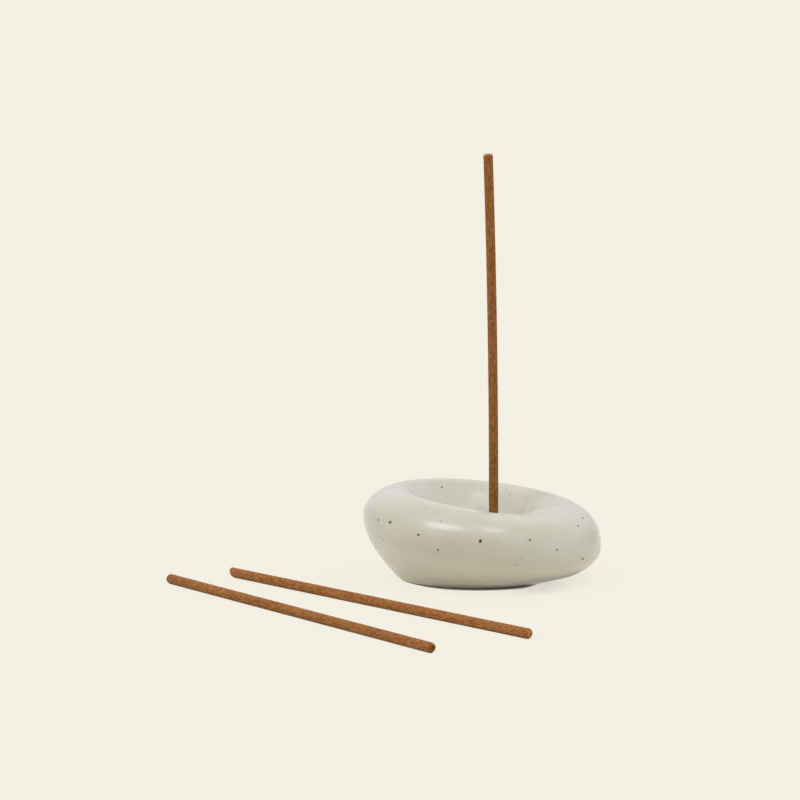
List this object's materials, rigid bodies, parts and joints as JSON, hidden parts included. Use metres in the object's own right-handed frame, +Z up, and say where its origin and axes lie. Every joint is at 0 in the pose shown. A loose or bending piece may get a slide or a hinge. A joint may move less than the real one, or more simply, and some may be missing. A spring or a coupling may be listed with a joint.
{
  "type": "incense stick holder",
  "caption": "Low tilted stoneware pebble with a rolled lip and an ash dish; a socket in the dish floor holds a thin coreless incense stick upright, with loose spare sticks lying beside it.",
  "frame": {"origin": "centre of the holder's flat foot, on the table", "axes": "+Z up along the standing stick, -Y towards the viewer of the picture, +X to the viewer's right, towards the low side of the lip"},
  "size_m": [0.1581, 0.174, 0.1548],
  "materials": {
    "glazed_stoneware": "satin pale grey-green glaze with a few iron specks",
    "incense_paste": "matte, finely grained dried paste"
  },
  "bodies": {
    "holder": {"holder": "glazed_stoneware"},
    "standing_stick": {"standing_stick": "incense_paste"},
    "spare_stick_front": {"spare_stick_front": "incense_paste"},
    "spare_stick_rear": {"spare_stick_rear": "incense_paste"}
  },
  "joints": [
    {"name": "stick_lift", "type": "slide", "parent": "holder", "child": "standing_stick", "axis": [0, 0, 1], "range_m": [0, 0.04]},
    {"name": "front_stick_lift", "type": "slide", "parent": "holder", "child": "spare_stick_front", "axis": [0, 0, 1], "range_m": [0, 0.05]},
    {"name": "rear_stick_lift", "type": "slide", "parent": "holder", "child": "spare_stick_rear", "axis": [0, 0, 1], "range_m": [0, 0.05]}
  ]
}
